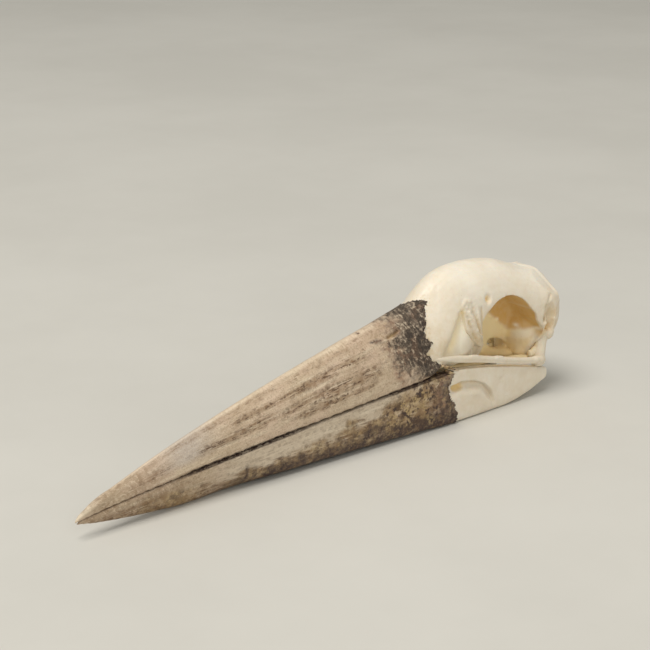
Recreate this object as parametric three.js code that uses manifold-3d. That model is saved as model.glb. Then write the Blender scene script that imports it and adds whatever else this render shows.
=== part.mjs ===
// Skull of a marabou stork with its horn bill sheath, life size, resting on its lower jaw.
// Millimetres, +Z up. The bill points along -X and the bird's left side faces -Y.
// Stations are measured along X from the bill tip and shifted to the middle at the end.
import * as THREE from "three";
import { LoftGeometry } from "three/addons/geometries/LoftGeometry.js";
import { mergeVertices } from "three/addons/utils/BufferGeometryUtils.js";
import Module from "manifold-3d";

const wasm = await Module();
wasm.setup();
const UP = new THREE.Vector3(0, 0, 1);

// Driving dimensions
const SKULL_LENGTH = 433; // bill tip to the back of the braincase
const BILL_LENGTH = 288; // bill tip to the end of the horn on the culmen
const TIP_HEIGHT = 12.8; // bill tip above the table
const CULMEN_RISE = 80.2; // culmen at the end of the horn, above the tip
const MOUTH_RISE = 30; // mouth line at the end of the horn, above the tip
const BILL_HALF_WIDTH = 25; // at the mouth line, at the end of the horn
const BILL_BOW = 0.7; // exponent of the bill's slightly bowed outlines
const BILL_TAPER = 0.82; // exponent of its width
const BILL_ROUNDNESS = 1.75; // 1 is a gable, 2 an ellipse
const PALATE_ARCH = 1.5;
const MOUTH_GAP = 1.1;
const SEAM = 0.3; // between nodes that touch
const WORN = 0.5; // depth of the small flats the jaw rests on
const UPTURN_START = 92; // the lower bill rises off the table ahead of this station
const JAW_ARCH = 2.6; // height of the lower edge between its two rests
const JAW_REST = [330, 372]; // stations of the rear rest, under both rami
const RAMUS_THICKNESS = 7;
const SYMPHYSIS = 150; // the rami part behind this station
const GAPE = 312; // the corner of the mouth
const JAW_END = 418;
const JAW_LIFT = 12; // rise of the jaw's lower edge behind the rear rest
const RAMUS_FALL = 22; // fall of the jaw's upper edge from the gape to its end
const SEPTUM = 2.6; // thickness of the wall between the orbits
const ORBIT = { x: 372.5, z: 62, radius: 25.7, rounding: 5 };
const SIDE = 50; // cutters for the sides of the head reach this far out
const LACRIMAL_DEPTH = 19.6; // from the middle plane to the inner face of the lacrimal
const TORN_AXIS = { upper: 66, lower: 20 }; // heights that the torn edges of the horn turn about

const BONE = { color: 0xe9e0cf, roughness: 0.55, metalness: 0 };
const HORN = { color: 0xb8a48a, roughness: 0.6, metalness: 0 };

// Braincase and face behind the horn: height of the roof, height and half width of the widest level,
// depth below that level, and squareness of the section.
const HEAD = [
  { x: 284, top: 92.3, mid: 42.0, half: 24.8, drop: 1, square: 1.75 },
  { x: 296, top: 95.6, mid: 46, half: 25.2, drop: 3, square: 1.8 },
  { x: 308, top: 105, mid: 54, half: 25, drop: 10, square: 1.9 },
  { x: 322, top: 112.2, mid: 64, half: 24.5, drop: 22, square: 2 },
  { x: 346, top: 114.3, mid: 73, half: 24.5, drop: 38, square: 2.1 },
  { x: 378, top: 110.5, mid: 75, half: 25.8, drop: 43, square: 2.1 },
  { x: 404, top: 101.2, mid: 68, half: 29.6, drop: 34, square: 2.3 },
  { x: 424, top: 94.5, mid: 66, half: 31, drop: 27, square: 2.45 },
  { x: 430, top: 87, mid: 66, half: 25, drop: 22, square: 2.4 },
  { x: SKULL_LENGTH, top: 77, mid: 66, half: 12, drop: 11, square: 2 },
];
const HEAD_KEYS = ["top", "mid", "half", "drop", "square"];
const headSpline = new THREE.CubicInterpolant(
  HEAD.map((s) => s.x),
  HEAD.flatMap((s) => HEAD_KEYS.map((key) => s[key])),
  HEAD_KEYS.length,
);

// Solids from three.js geometry and back
function solid(geometry) {
  const bare = geometry.index ? geometry.toNonIndexed() : geometry.clone();
  bare.deleteAttribute("normal");
  bare.deleteAttribute("uv");
  const merged = mergeVertices(bare, 1e-3);
  return new wasm.Manifold(
    new wasm.Mesh({
      numProp: 3,
      vertProperties: merged.attributes.position.array,
      triVerts: new Uint32Array(merged.index.array),
    }),
  );
}

function geometryOf(body) {
  const { vertProperties, triVerts } = body.getMesh();
  const geometry = new THREE.BufferGeometry();
  geometry.setAttribute("position", new THREE.BufferAttribute(vertProperties, 3));
  geometry.setIndex(new THREE.BufferAttribute(triVerts, 1));
  return geometry;
}

const largest = (body) =>
  body.decompose().reduce((best, piece) => (piece.volume() > best.volume() ? piece : best));

// Cuts a piece back so that a thin seam stays between it and its neighbour, on the side it comes from
const clearOf = (piece, neighbour, side) =>
  largest(piece.subtract(neighbour).subtract(neighbour.translate(side.map((way) => way * SEAM))));

const mirrored = (body) => body.mirror([0, 1, 0]);
const loft = (rings) => solid(new LoftGeometry(rings, { capStart: true, capEnd: true }));

function ellipsoid(centre, radii, detail = 24) {
  const geometry = new THREE.SphereGeometry(1, detail, detail / 2);
  geometry.scale(...radii);
  geometry.translate(...centre);
  return solid(geometry);
}

// A prism out of the left side: an outline in X and Z, from the middle outwards, rounded at its inner end
function sidePrism(shape, inner, outer, rounding, segments = 4) {
  const geometry = new THREE.ExtrudeGeometry(shape, {
    depth: outer - inner - rounding,
    bevelThickness: rounding,
    bevelSize: rounding,
    bevelOffset: -rounding,
    bevelSegments: segments,
    curveSegments: 10,
  });
  return geometry.rotateX(Math.PI / 2).translate(0, -inner - rounding, 0);
}

const sideCutter = (...prism) => solid(sidePrism(...prism));

// A tapered bar along a curve, with an oval section that is given at each end
function bar(points, startRadii, endRadii, sides = 10, steps = 9) {
  const path = new THREE.CatmullRomCurve3(points.map((p) => new THREE.Vector3(...p)));
  const across = new THREE.Vector3(0, 1, 0);
  const rings = Array.from({ length: steps + 1 }, (_, i) => {
    const share = i / steps;
    const centre = path.getPointAt(share);
    const other = path.getTangentAt(share).cross(across).normalize();
    const wide = THREE.MathUtils.lerp(startRadii[0], endRadii[0], share);
    const high = THREE.MathUtils.lerp(startRadii[1], endRadii[1], share);
    return Array.from({ length: sides }, (_, k) => {
      const angle = (k / sides) * 2 * Math.PI;
      return centre
        .clone()
        .addScaledVector(across, wide * Math.cos(angle))
        .addScaledVector(other, high * Math.sin(angle));
    });
  });
  return loft(rings);
}

// Outlines of the bill
const bow = (x) => Math.pow(x / BILL_LENGTH, BILL_BOW);
const culmen = (x) => TIP_HEIGHT + CULMEN_RISE * bow(x);
const mouth = (x) => TIP_HEIGHT - 0.4 + MOUTH_RISE * bow(x);
const billHalf = (x) => BILL_HALF_WIDTH * Math.pow(x / BILL_LENGTH, BILL_TAPER);

function jawBottom(x) {
  const [restStart, restEnd] = JAW_REST;
  if (x < UPTURN_START) return (TIP_HEIGHT - 1.4) * Math.pow(1 - x / UPTURN_START, 1.5);
  if (x < restStart) {
    return JAW_ARCH * Math.sin((Math.PI * (x - UPTURN_START)) / (restStart - UPTURN_START));
  }
  return x < restEnd ? 0 : JAW_LIFT * Math.pow((x - restEnd) / (JAW_END - restEnd), 1.6);
}

function jawTop(x) {
  if (x < GAPE) return mouth(x) - MOUTH_GAP;
  const share = (x - GAPE) / (JAW_END - GAPE);
  return mouth(GAPE) - MOUTH_GAP - RAMUS_FALL * Math.pow(share, 1.35);
}

const JAW_INSET = 0.965; // the lower bill is a little narrower than the upper one
const jawFlare = (x) => 0.022 * Math.max(0, x - GAPE);
const jawHalf = (x) => JAW_INSET * (billHalf(Math.min(x, GAPE)) + jawFlare(x));
const bend = (value, roundness) => Math.sign(value) * Math.pow(Math.abs(value), 2 / roundness);

// One section function from the bill tip to the back of the head
function upperPoint(x, angle) {
  let [top, mid, half, drop, square] = x > HEAD[0].x ? headSpline.evaluate(x) : [];
  if (x <= HEAD[0].x) {
    top = culmen(x);
    mid = mouth(x);
    half = billHalf(x);
    drop = -PALATE_ARCH * Math.min(1, x / 60);
    square = BILL_ROUNDNESS;
  }
  const above = Math.sin(angle) >= 0;
  const reach = above ? top - mid : drop;
  return new THREE.Vector3(
    x,
    half * bend(Math.cos(angle), square),
    mid + reach * bend(Math.sin(angle), square),
  );
}

// The lower jaw, flat on top, from its tip to the joint with the head
function lowerPoint(x, angle) {
  const top = jawTop(x);
  const square = x < 120 ? 1.8 : THREE.MathUtils.mapLinear(Math.min(x, 320), 120, 320, 1.8, 14);
  const depth = Math.sin(angle) > 0 ? 0 : top - jawBottom(x);
  return new THREE.Vector3(
    x,
    jawHalf(x) * bend(Math.cos(angle), square),
    top + depth * bend(Math.sin(angle), square),
  );
}

const ring = (count, at) => Array.from({ length: count }, (_, k) => at((k / count) * 2 * Math.PI));

function bodyAlong(stations, sides, pointAt) {
  return loft(stations.map((x) => ring(sides, (angle) => pointAt(x, angle))));
}

const spaced = (from, to, count, crowding = 1) =>
  Array.from({ length: count }, (_, i) => from + (to - from) * Math.pow(i / (count - 1), crowding));

// Everything ahead of a torn edge, which is a station for each angle round an axis at a height
function aheadOf(edge, height, shift) {
  const sides = 72;
  const circle = (radius, station) =>
    ring(sides, (angle) => {
      const y = radius * Math.cos(angle);
      return new THREE.Vector3(station(angle) + shift, y, height + radius * Math.sin(angle));
    });
  const middle = edge(0) + 6;
  return loft([
    circle(120, () => -50),
    circle(120, edge),
    circle(2, edge),
    circle(1, () => middle),
  ]);
}

// Torn rear edges of the horn, alike on both sides: a base line with long lobes and short teeth
const fromTop = (angle) => Math.acos(Math.sin(angle));

function upperEdge(angle) {
  const turn = fromTop(angle);
  return BILL_LENGTH + 7 - 4.5 * Math.cos(6.2 * turn) + 1.2 * Math.sin(23 * turn);
}

function lowerEdge(angle) {
  const turn = fromTop(angle);
  const low = Math.max(0, turn - 1.4);
  return 315 + 12 * low * Math.sqrt(low) + 2 * Math.sin(5 * turn) + 1.2 * Math.sin(17 * turn);
}

const flat = (points) => new THREE.Shape(points.map(([x, z]) => new THREE.Vector2(x, z)));

// An outline made larger by a margin, from its middle
function grown(shape, margin) {
  const points = shape.getPoints();
  const middle = new THREE.Box2().setFromPoints(points).getCenter(new THREE.Vector2());
  for (const point of points) {
    const reach = point.distanceTo(middle) + margin;
    point.sub(middle).setLength(reach).add(middle);
  }
  return new THREE.Shape(points);
}

// Head
const upper = bodyAlong(
  [...spaced(0.8, HEAD[0].x, 20, 1.4), ...spaced(289, SKULL_LENGTH, 33)],
  40,
  upperPoint,
);
const upperSheath = largest(upper.intersect(aheadOf(upperEdge, TORN_AXIS.upper, 0)));

// The lacrimal is a tapering plate of the side wall, between the window of the face and the orbit
const lacrimalFront = [
  [328, 86],
  [332, 71],
  [342, 58],
  [347.5, 53],
];
const lacrimalRear = [
  [351, 54],
  [346.5, 66],
  [347, 74],
  [353, 79.5],
];
const lacrimalOutline = flat([...lacrimalFront, ...lacrimalRear]);

const orbitArch = flat([[351, 15], ...lacrimalRear]);
orbitArch.absarc(ORBIT.x, ORBIT.z, ORBIT.radius, 2.35, 0.55, true);
for (const [x, z] of [[400.5, 69], [402.5, 63], [409.5, 54.5], [407, 15]]) orbitArch.lineTo(x, z);
const orbit = sideCutter(orbitArch, SEPTUM / 2, SIDE, ORBIT.rounding);

// The window ahead of the orbit is shallow in front and deepens towards the lacrimal
const windowOutline = flat([[303, 57], [314, 73], [325, 87], ...lacrimalFront, [348, 15], [303, 15]]);
const windowFloor = { x: 303, depth: 23.5, slope: 0.24 };
const faceWindow = solid(
  sidePrism(windowOutline, 0, SIDE, 1.2, 2)
    .translate(-windowFloor.x, 0, 0)
    .rotateZ(windowFloor.slope)
    .translate(windowFloor.x, -windowFloor.depth, 0),
);
const lacrimalSlot = sideCutter(grown(lacrimalOutline, SEAM), LACRIMAL_DEPTH - SEAM, SIDE, SEAM, 1);
const temporalHollow = ellipsoid([415, -34, 63], [5, 6.5, 15]);

// Flat facets beside the middle of the nuchal crest
const facetNormal = new THREE.Vector3(0.35, -0.64, 0.77);
const facetBlock = new THREE.BoxGeometry(120, 120, 60).translate(0, 0, 30);
facetBlock.applyQuaternion(new THREE.Quaternion().setFromUnitVectors(UP, facetNormal.normalize()));
const crestFacet = solid(facetBlock.translate(427, -9, 94));

let head = upper.subtract(aheadOf(upperEdge, TORN_AXIS.upper, SEAM));
for (const cutter of [orbit, faceWindow, temporalHollow, crestFacet]) {
  head = head.subtract(cutter).subtract(mirrored(cutter));
}
const skullBase = ellipsoid([412, 0, 46], [15, 21, 20]);
const noseCore = ellipsoid([332, 0, 62], [24, 20.5, 26]).intersect(upper);
const rostrum = bar([[330, 0, 44], [370, 0, 38], [404, 0, 28]], [3.4, 5], [5.5, 5]);
const earLobe = ellipsoid([419, -26, 51], [4.5, 4.5, 8], 14);
const condyle = ellipsoid([SKULL_LENGTH - 3, 0, 48], [4, 4, 3.4], 16);
for (const addition of [skullBase, noseCore, rostrum, condyle, earLobe, mirrored(earLobe)]) {
  head = head.add(addition);
}
const foramenMagnum = ellipsoid([SKULL_LENGTH + 2, 0, 58], [9, 7.5, 7], 20);
const septumHole = new THREE.CylinderGeometry(1, 1, 12, 20).scale(11, 1, 3.6);
septumHole.rotateY(0.3).translate(388, 0, 40.5);
for (const cutter of [foramenMagnum, solid(septumHole), lacrimalSlot, mirrored(lacrimalSlot)]) {
  head = head.subtract(cutter);
}

// The bending line between face and forehead parts the upper jaw from the cranium
function aheadOfHinge(shift) {
  const block = new THREE.BoxGeometry(300, 200, 300).translate(-150 + shift, 0, 0);
  return solid(block.rotateY(-0.46).translate(320, 0, 99));
}
const upperJaw = largest(head.intersect(aheadOfHinge(0)));
const cranium = largest(head.subtract(aheadOfHinge(SEAM)));

// Lower jaw
const jaw = bodyAlong([...spaced(1.5, 300, 20, 1.3), ...spaced(308, JAW_END, 14)], 32, lowerPoint);
const insideX = [SYMPHYSIS, 210, GAPE, JAW_END + 20];
const between = insideX.map((x) => [x, Math.max(0, jawHalf(x) - RAMUS_THICKNESS - 120 / (x - 130))]);
const gapOutline = flat([...between, ...between.slice(1).map(([x, y]) => [x, -y]).reverse()]);
const gapPrism = new THREE.ExtrudeGeometry(gapOutline, { depth: 90, bevelEnabled: false });
const jawGap = solid(gapPrism.translate(0, 0, -20));
const table = solid(new THREE.BoxGeometry(600, 200, 40).translate(200, 0, WORN - 20));
const openJaw = jaw.subtract(jawGap).subtract(table);
const lowerSheath = largest(openJaw.intersect(aheadOf(lowerEdge, TORN_AXIS.lower, 0)));
const leftHalf = solid(new THREE.BoxGeometry(500, 100, 300).translate(300, -50, 0));
const rearJaw = openJaw.subtract(aheadOf(lowerEdge, TORN_AXIS.lower, SEAM));

// Bars and small bones of the left side
const quadrateTop = ellipsoid([416, -21, 44], [5.5, 6, 7], 12);
const quadrateFoot = ellipsoid([411, -24, 28], [6, 5.5, 5.5], 12);
const quadrateShaft = bar([[416, -21.5, 45], [413, -23, 36], [411, -24, 28]], [5, 4], [4.5, 5], 10, 4);
const quadrateFork = bar([[412, -21, 35], [402, -21.5, 37], [394, -21, 41]], [2, 3], [1.1, 1.4], 8, 5);
const quadrateRaw = quadrateTop.add(quadrateFoot).add(quadrateShaft).add(quadrateFork);
const quadrate = clearOf(quadrateRaw, cranium, [-0.8, -0.8, -1]);
const articular = ellipsoid([408, -21, 18], [9, 7, 5.5], 16);
const jawJoint = [0, 0.3, -1.2];
const ramusLeft = clearOf(rearJaw.intersect(leftHalf).add(articular), quadrate, jawJoint);
const rearRight = rearJaw.intersect(mirrored(leftHalf)).add(mirrored(articular));
const ramusRight = clearOf(rearRight, mirrored(quadrate), jawJoint);
const cheekPath = [
  [299, -23.5, 56.2],
  [322, -24.8, 50.5],
  [343, -25.4, 45.6],
  [386, -27, 34],
  [409, -28, 29.5],
];
const cheekRaw = bar(cheekPath, [1.8, 3], [2, 2.6], 10, 12);
const cheekBar = clearOf(clearOf(cheekRaw, upperJaw, [1, -1, -0.6]), quadrate, [-1, -1, 0]);
const lacrimal = largest(upper.intersect(sideCutter(lacrimalOutline, LACRIMAL_DEPTH, SIDE, SEAM, 1)));
const palatinePath = [
  [309, -13, 45],
  [335, -13, 39],
  [358, -10, 34],
  [380, -6, 31],
];
const palatineRaw = bar(palatinePath, [5, 1.5], [2.4, 1.8]);
const palatine = clearOf(clearOf(palatineRaw, cranium, [0, -1, -1]), upperJaw, [1, 0, -1]);
const pterygoidPath = [
  [383, -7, 30.5],
  [394, -12, 29.5],
  [405, -19, 28],
];
const pterygoidRaw = bar(pterygoidPath, [1.8, 1.8], [2.2, 2.2], 8, 5);
const pterygoid = clearOf(clearOf(pterygoidRaw, palatine, [1, -0.3, 0]), quadrate, [-1, 1, 0]);

// Nodes
const skull = new THREE.Group();

function place(name, body, look) {
  const mesh = new THREE.Mesh(geometryOf(body), new THREE.MeshStandardMaterial(look));
  mesh.name = name;
  skull.add(mesh);
}

place("upper_sheath", upperSheath, HORN);
place("lower_sheath", lowerSheath, HORN);
place("upper_jaw", upperJaw, BONE);
place("cranium", cranium, BONE);
place("jaw_ramus_left", ramusLeft, BONE);
place("jaw_ramus_right", ramusRight, BONE);
const paired = { quadrate, cheek_bar: cheekBar, lacrimal, palatine, pterygoid };
for (const [name, body] of Object.entries(paired)) {
  place(name + "_left", body, BONE);
  place(name + "_right", mirrored(body), BONE);
}

// Middle of the length at X = 0, resting flats at Z = 0
const extent = new THREE.Box3().setFromObject(skull);
for (const mesh of skull.children) {
  mesh.geometry.translate(-(extent.min.x + extent.max.x) / 2, 0, -extent.min.z);
}

export default skull;
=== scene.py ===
import math

import bpy
import numpy as np
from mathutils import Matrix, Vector, noise


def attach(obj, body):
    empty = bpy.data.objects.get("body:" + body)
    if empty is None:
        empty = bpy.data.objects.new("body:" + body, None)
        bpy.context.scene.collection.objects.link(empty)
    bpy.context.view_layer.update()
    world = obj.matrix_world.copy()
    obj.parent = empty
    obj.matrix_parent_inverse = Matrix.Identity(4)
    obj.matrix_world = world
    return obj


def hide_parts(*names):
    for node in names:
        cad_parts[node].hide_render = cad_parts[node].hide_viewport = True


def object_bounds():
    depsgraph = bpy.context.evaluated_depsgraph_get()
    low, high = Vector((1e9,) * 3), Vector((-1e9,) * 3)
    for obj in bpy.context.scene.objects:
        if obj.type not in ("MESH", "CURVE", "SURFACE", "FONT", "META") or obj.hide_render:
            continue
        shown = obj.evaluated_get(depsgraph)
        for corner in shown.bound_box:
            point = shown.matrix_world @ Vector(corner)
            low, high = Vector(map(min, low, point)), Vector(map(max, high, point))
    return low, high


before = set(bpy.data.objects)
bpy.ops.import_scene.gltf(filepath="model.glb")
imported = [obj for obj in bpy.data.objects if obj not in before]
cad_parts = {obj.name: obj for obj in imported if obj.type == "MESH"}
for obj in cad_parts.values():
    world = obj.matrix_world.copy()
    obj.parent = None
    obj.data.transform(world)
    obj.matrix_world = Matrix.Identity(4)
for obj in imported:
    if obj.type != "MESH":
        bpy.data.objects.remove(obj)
cadBox = [list(corner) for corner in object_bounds()]
tipGap = 0.0008  # station 0 is a touch ahead of the blunt bill tip
tipX = cadBox[0][0] - tipGap
mergeDistance = 0.00001
smoothFactor = 0.5  # share of the way to the neighbours in each round of smoothing
leastWeight = 0.03  # vertices with less are left out of a smoothing
seedStep = 17.3  # distance between the noises of one seed and the next


# places on the skull are in millimetres: station behind the bill tip, side (left is minus), height
def place(station, side, height):
    return Vector((tipX + station / 1000, side / 1000, height / 1000))


def deselectAll():
    bpy.ops.object.select_all(action="DESELECT")


def makeActive(piece):
    deselectAll()
    piece.select_set(True)
    bpy.context.view_layer.objects.active = piece


def editMode(piece):
    makeActive(piece)
    bpy.ops.object.mode_set(mode="EDIT")
    bpy.ops.mesh.select_mode(type="VERT")


def objectMode():
    bpy.ops.object.mode_set(mode="OBJECT")


# joins pieces into the first one and merges their loose triangles
def joined(pieces):
    deselectAll()
    for piece in pieces:
        piece.select_set(True)
    bpy.context.view_layer.objects.active = pieces[0]
    if len(pieces) > 1:
        bpy.ops.object.join()
    editMode(pieces[0])
    bpy.ops.mesh.select_all(action="SELECT")
    bpy.ops.mesh.remove_doubles(threshold=mergeDistance)
    objectMode()
    return pieces[0]


# a joined copy of CAD nodes, ready to be refined
def copyNodes(name, *nodeNames):
    copies = []
    for nodeName in nodeNames:
        nodeCopy = bpy.data.objects.new(name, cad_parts[nodeName].data.copy())
        bpy.context.scene.collection.objects.link(nodeCopy)
        nodeCopy.data.materials.clear()
        copies.append(nodeCopy)
    piece = joined(copies)
    piece.name = name
    return piece


def applied(piece, kind, **settings):
    makeActive(piece)
    modifier = piece.modifiers.new(kind.lower(), kind)
    for key, value in settings.items():
        setattr(modifier, key, value)
    bpy.ops.object.modifier_apply(modifier=modifier.name)


# seams between the copied nodes are swollen shut, remeshed and smoothed away
def remeshed(piece, voxel, smoothing, swell=0.25):
    applied(piece, "DISPLACE", strength=swell / 1000, mid_level=0)
    applied(piece, "REMESH", mode="VOXEL", voxel_size=voxel / 1000)
    applied(piece, "SMOOTH", factor=smoothFactor, iterations=smoothing)
    applied(piece, "DISPLACE", strength=-swell / 1000, mid_level=0)


# keeps what lies behind a station, or ahead of it
def cutAcross(piece, station, keepRear):
    editMode(piece)
    bpy.ops.mesh.select_all(action="SELECT")
    bpy.ops.mesh.bisect(
        plane_co=place(station, 0, 0),
        plane_no=(1, 0, 0),
        use_fill=True,
        clear_inner=keepRear,
        clear_outer=not keepRear,
    )
    objectMode()


def deleteWhere(piece, unwanted):
    editMode(piece)
    bpy.ops.mesh.select_all(action="DESELECT")
    objectMode()
    piece.data.vertices.foreach_set("select", unwanted)
    editMode(piece)
    bpy.ops.mesh.delete(type="VERT")
    objectMode()


# vertex places in millimetres and vertex normals
def surfaceOf(piece):
    count = len(piece.data.vertices)
    places = np.empty(count * 3, np.float32)
    normals = np.empty(count * 3, np.float32)
    piece.data.vertices.foreach_get("co", places)
    piece.data.vertices.foreach_get("normal", normals)
    mm = (places.reshape(-1, 3).astype(float) - np.array([tipX, 0, 0])) * 1000
    return mm, normals.reshape(-1, 3).astype(float)


# moves each vertex by its own step, in millimetres
def shift(piece, steps):
    mm = surfaceOf(piece)[0]
    places = (mm + steps) / 1000 + np.array([tipX, 0, 0])
    piece.data.vertices.foreach_set("co", places.astype(np.float32).ravel())
    piece.data.update()


# raises each vertex along its normal
def sculpt(piece, rise):
    normals = surfaceOf(piece)[1]
    shift(piece, normals * np.asarray(rise)[:, None])


def paint(piece, layer, values):
    attribute = piece.data.attributes.new(layer, "FLOAT", "POINT")
    attribute.data.foreach_set("value", np.asarray(values, np.float32))


def paintVector(piece, layer, values):
    attribute = piece.data.attributes.new(layer, "FLOAT_VECTOR", "POINT")
    attribute.data.foreach_set("vector", np.asarray(values, np.float32).ravel())


# paints the sum of some masks, each given with its strength
def paintMix(piece, layer, *parts):
    mixed = np.zeros(len(piece.data.vertices))
    for strength, mask in parts:
        mixed += strength * mask
    paint(piece, layer, np.clip(mixed, 0, 1))


def smoothStep(values, low, high):
    share = np.clip((values - low) / (high - low), 0, 1)
    return share * share * (3 - 2 * share)


# 1 up to the start, falling to 0 at the end
def fadeOut(values, start, end):
    return smoothStep(-values, -end, -start)


def bell(values, middle, reach):
    return np.exp(-(((values - middle) / reach) ** 2))


# left and right alike
def bothSides(mm):
    return mm * np.array([1, 0, 1]) - np.abs(mm) * np.array([0, 1, 0])


def blob(mm, centre, radii):
    return np.exp(-(((mm - np.array(centre)) / np.array(radii)) ** 2).sum(1))


# a soft line through a few places: 1 on the line, fading with the distance from it
def softLine(mm, points, width):
    nearest = np.full(len(mm), 1e9)
    for start, end in zip(points[:-1], points[1:]):
        start, end = np.array(start, float), np.array(end, float)
        run = end - start
        share = np.clip(((mm - start) @ run) / (run @ run), 0, 1)
        nearest = np.minimum(nearest, np.linalg.norm(mm - start - share[:, None] * run, axis=1))
    return bell(nearest, 0, width)


# ridges and grooves, each given by the places along its line, its width and its rise
def lineRelief(mm, lines):
    return sum(rise * softLine(mm, points, width) for points, width, rise in lines)


# swellings and pits, each given by its place, radii and rise
def spotRelief(mm, spots):
    return sum(rise * blob(mm, spot, radii) for spot, radii, rise in spots)


# natural unevenness of a given height and size
def rough(mm, height, size, octaves=2, stretch=(1, 1, 1), seed=0):
    scaled = mm / (size * np.array(stretch)) + seed * seedStep
    return height * np.array([noise.fractal(Vector(spot), 1.0, 2.0, octaves) for spot in scaled])


def finishPiece(piece, slot, look, *nodeNames):
    makeActive(piece)
    bpy.ops.object.shade_smooth()
    piece.data.materials.append(look)
    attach(piece, "root")
    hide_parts(*nodeNames)
    print(piece.name, len(piece.data.polygons), "faces")


# shader nodes
def addNode(tree, kind, **settings):
    node = tree.nodes.new(kind)
    for key, value in settings.items():
        if key in node.inputs:
            node.inputs[key].default_value = value
        else:
            setattr(node, key, value)
    return node


def newGroup(name, inputs, outputs):
    group = bpy.data.node_groups.new(name, "ShaderNodeTree")
    for label, kind, value in inputs:
        socket = group.interface.new_socket(label, in_out="INPUT", socket_type=kind)
        if value is not None:
            socket.default_value = value
    for label, kind in outputs:
        group.interface.new_socket(label, in_out="OUTPUT", socket_type=kind)
    return group, addNode(group, "NodeGroupInput"), addNode(group, "NodeGroupOutput")


# cloudy patches with soft or hard borders, on any coordinates
def makePatches():
    inputs = [
        ("Vector", "NodeSocketVector", None),
        ("Scale", "NodeSocketFloat", 40.0),
        ("Detail", "NodeSocketFloat", 5.0),
        ("Low", "NodeSocketFloat", 0.45),
        ("High", "NodeSocketFloat", 0.6),
    ]
    group, start, end = newGroup("patches", inputs, [("Mask", "NodeSocketFloat")])
    cloud = addNode(group, "ShaderNodeTexNoise", Roughness=0.62)
    border = addNode(group, "ShaderNodeMapRange", interpolation_type="SMOOTHSTEP")
    for label in ("Vector", "Scale", "Detail"):
        group.links.new(start.outputs[label], cloud.inputs[label])
    group.links.new(cloud.outputs["Fac"], border.inputs["Value"])
    group.links.new(start.outputs["Low"], border.inputs["From Min"])
    group.links.new(start.outputs["High"], border.inputs["From Max"])
    group.links.new(border.outputs["Result"], end.inputs["Mask"])
    return group


# small pits: the middles of scattered cells
def makePits():
    inputs = [
        ("Vector", "NodeSocketVector", None),
        ("Scale", "NodeSocketFloat", 600.0),
        ("Size", "NodeSocketFloat", 0.25),
    ]
    group, start, end = newGroup("pits", inputs, [("Mask", "NodeSocketFloat")])
    cells = addNode(group, "ShaderNodeTexVoronoi")
    border = addNode(group, "ShaderNodeMapRange", interpolation_type="SMOOTHSTEP")
    border.inputs["To Min"].default_value = 1
    border.inputs["To Max"].default_value = 0
    group.links.new(start.outputs["Vector"], cells.inputs["Vector"])
    group.links.new(start.outputs["Scale"], cells.inputs["Scale"])
    group.links.new(cells.outputs["Distance"], border.inputs["Value"])
    group.links.new(start.outputs["Size"], border.inputs["From Max"])
    group.links.new(border.outputs["Result"], end.inputs["Mask"])
    return group


patchesGroup = makePatches()
pitsGroup = makePits()


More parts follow.
